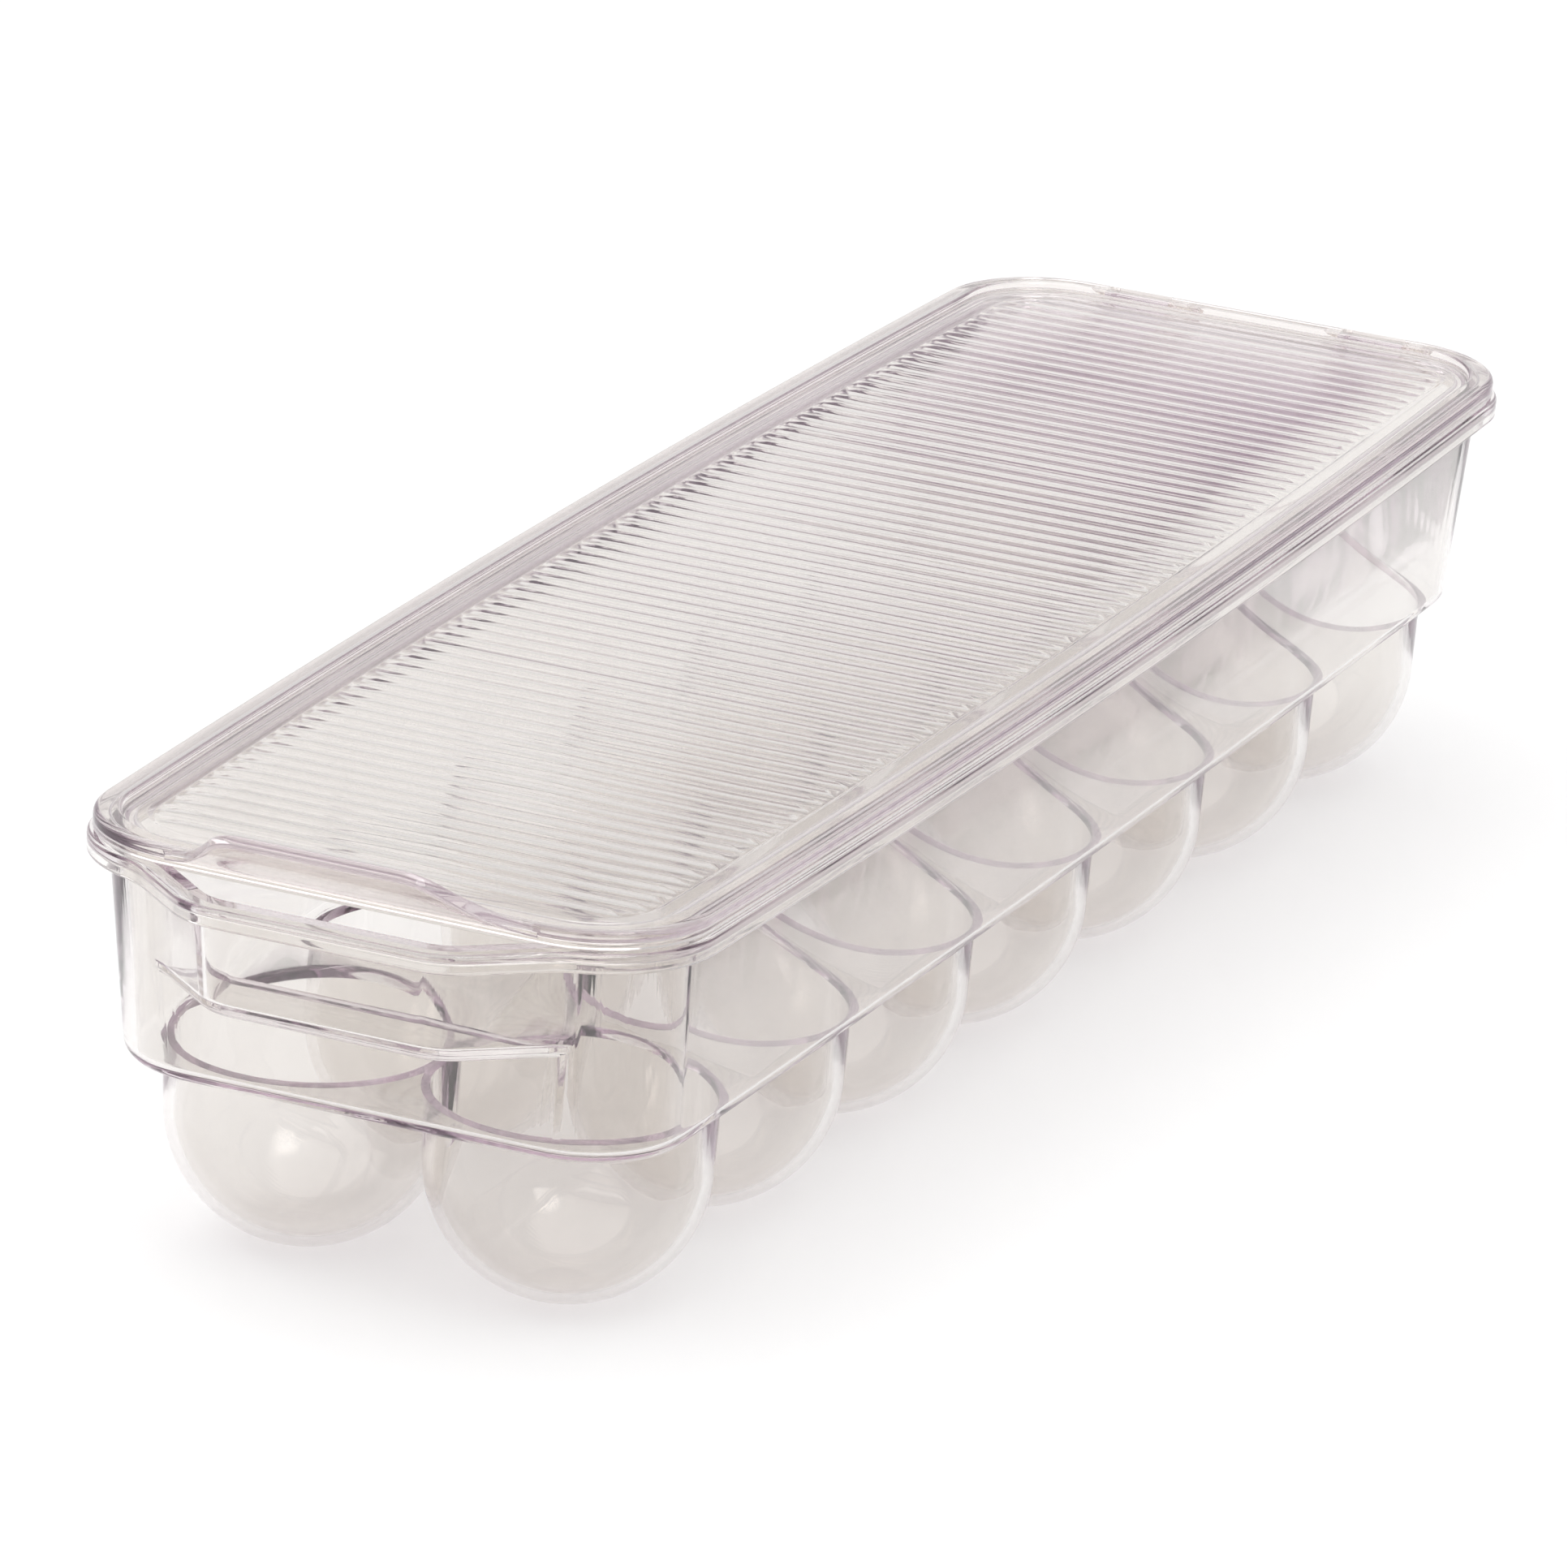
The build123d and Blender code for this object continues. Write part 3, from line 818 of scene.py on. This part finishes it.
def make_floor():
    """Pale floor that keeps the object's shadow and turns plain white further out."""
    half = FLOOR_SIZE / 2
    mesh = bpy.data.meshes.new("floor")
    low = -FLOOR_GAP * MM
    around = ((-half, -half), (half, -half), (half, half), (-half, half))
    corners = [(x, y, low) for x, y in around]
    mesh.from_pydata(corners, [], [(0, 1, 2, 3)])
    floor = bpy.data.objects.new("floor", mesh)
    bpy.context.scene.collection.objects.link(floor)
    paint = bpy.data.materials.new("floor_paint")
    paint.use_nodes = True
    tree = paint.node_tree
    shader = tree.nodes["Principled BSDF"]
    shader.inputs["Base Color"].default_value = (*FLOOR_COLOUR, 1)
    shader.inputs["Roughness"].default_value = FLOOR_ROUGHNESS
    shader.inputs["Specular IOR Level"].default_value = FLOOR_SHINE

    place = tree.nodes.new("ShaderNodeTexCoord")
    distance = tree.nodes.new("ShaderNodeVectorMath")
    distance.operation = "LENGTH"
    outward = tree.nodes.new("ShaderNodeMapRange")
    outward.interpolation_type = "SMOOTHSTEP"
    outward.inputs["From Min"].default_value = FLOOR_NEAR
    outward.inputs["From Max"].default_value = FLOOR_FAR
    share = tree.nodes.new("ShaderNodeMath")
    share.operation = "MULTIPLY"
    white = tree.nodes.new("ShaderNodeEmission")
    white.inputs["Color"].default_value = (1, 1, 1, 1)
    mix = tree.nodes.new("ShaderNodeMixShader")
    tree.links.new(place.outputs["Object"], distance.inputs[0])
    tree.links.new(distance.outputs["Value"], outward.inputs["Value"])
    tree.links.new(outward.outputs["Result"], share.inputs[0])
    tree.links.new(seen_sharply(tree), share.inputs[1])
    tree.links.new(share.outputs[0], mix.inputs["Fac"])
    tree.links.new(shader.outputs["BSDF"], mix.inputs[1])
    tree.links.new(white.outputs["Emission"], mix.inputs[2])
    tree.links.new(mix.outputs["Shader"], tree.nodes["Material Output"].inputs["Surface"])
    mesh.materials.append(paint)


def make_world():
    """White where it is seen straight on or low down, greyer overhead."""
    world = bpy.data.worlds.new("studio")
    bpy.context.scene.world = world
    world.use_nodes = True
    tree = world.node_tree
    fill = tree.nodes["Background"]
    fill.inputs["Color"].default_value = (*WORLD_COLOUR, 1)
    fill.inputs["Strength"].default_value = WORLD_STRENGTH

    place = tree.nodes.new("ShaderNodeTexCoord")
    height = tree.nodes.new("ShaderNodeSeparateXYZ")
    shade = tree.nodes.new("ShaderNodeMapRange")
    shade.interpolation_type = "SMOOTHSTEP"
    shade.inputs["From Min"].default_value = WORLD_LOW
    shade.inputs["From Max"].default_value = WORLD_HIGH
    shade.inputs["To Min"].default_value = 1.0
    shade.inputs["To Max"].default_value = OVERHEAD
    around = tree.nodes.new("ShaderNodeBackground")
    tree.links.new(place.outputs["Generated"], height.inputs["Vector"])
    tree.links.new(height.outputs["Z"], shade.inputs["Value"])
    tree.links.new(shade.outputs["Result"], around.inputs["Strength"])
    around.inputs["Color"].default_value = (1, 1, 1, 1)

    straight = tree.nodes.new("ShaderNodeBackground")
    straight.inputs["Color"].default_value = (1, 1, 1, 1)
    rays = tree.nodes.new("ShaderNodeLightPath")
    through = tree.nodes.new("ShaderNodeMixShader")
    tree.links.new(seen_sharply(tree), through.inputs["Fac"])
    tree.links.new(fill.outputs[0], through.inputs[1])
    tree.links.new(around.outputs[0], through.inputs[2])
    whole_sky = tree.nodes.new("ShaderNodeMixShader")
    tree.links.new(rays.outputs["Is Camera Ray"], whole_sky.inputs["Fac"])
    tree.links.new(through.outputs[0], whole_sky.inputs[1])
    tree.links.new(straight.outputs[0], whole_sky.inputs[2])
    tree.links.new(whole_sky.outputs[0], tree.nodes["World Output"].inputs["Surface"])


def soft_lamp(name, place, size, power):
    """Square area lamp that faces the object."""
    lamp = bpy.data.lights.new(name, "AREA")
    lamp.size = size
    lamp.energy = power
    made = bpy.data.objects.new(name, lamp)
    made.location = place
    made.rotation_mode = "QUATERNION"
    made.rotation_quaternion = Vector(place).to_track_quat("Z", "Y")
    bpy.context.scene.collection.objects.link(made)


def make_camera():
    """Camera at the viewing angle, with a slight tilt about its own line."""
    side, lift = math.radians(CAMERA_AZIMUTH), math.radians(CAMERA_ELEVATION)
    roll = math.radians(CAMERA_ROLL)
    across, along = math.sin(side) * math.cos(lift), -math.cos(side) * math.cos(lift)
    back = Vector((across, along, math.sin(lift)))
    level = Vector((math.cos(side), math.sin(side), 0))
    upright = back.cross(level)
    right = math.cos(roll) * level + math.sin(roll) * upright
    up = back.cross(right)
    lens = bpy.data.cameras.new("camera")
    lens.sensor_width = SENSOR
    lens.lens = CAMERA_LENS
    camera = bpy.data.objects.new("camera", lens)
    turn = Matrix((right, up, back)).transposed().to_4x4()
    place = Vector(CAMERA_TARGET) + back * CAMERA_DISTANCE
    camera.matrix_world = Matrix.Translation(place) @ turn
    bpy.context.scene.collection.objects.link(camera)
    bpy.context.scene.camera = camera


bin_moulding = make_bin()
bin_moulding.data.materials.append(
    clear_plastic("bin_plastic", BIN_SURFACE, BIN_DEPTH, BIN_DENSITY, BIN_ROUGHNESS)
)
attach(bin_moulding, "bin")
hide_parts(*frame["record"]["behaviour"]["bodies"]["bin"])

lid_moulding = make_lid()
lid_moulding.data.materials.append(
    clear_plastic("lid_plastic", LID_TINT_AND_WARM_LIGHT, LID_DEPTH, LID_DENSITY, LID_ROUGHNESS)
)
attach(lid_moulding, "lid")
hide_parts("lid")

make_floor()
make_world()
soft_lamp("key", KEY_PLACE, KEY_SIZE, KEY_POWER)
soft_lamp("fill", FILL_PLACE, FILL_SIZE, FILL_POWER)
make_camera()

scene = bpy.context.scene
scene.view_settings.view_transform = "Standard"
scene.cycles.max_bounces = BOUNCES
scene.cycles.transmission_bounces = BOUNCES
scene.cycles.glossy_bounces = BOUNCES
scene.cycles.transparent_max_bounces = CLEAR_LAYERS
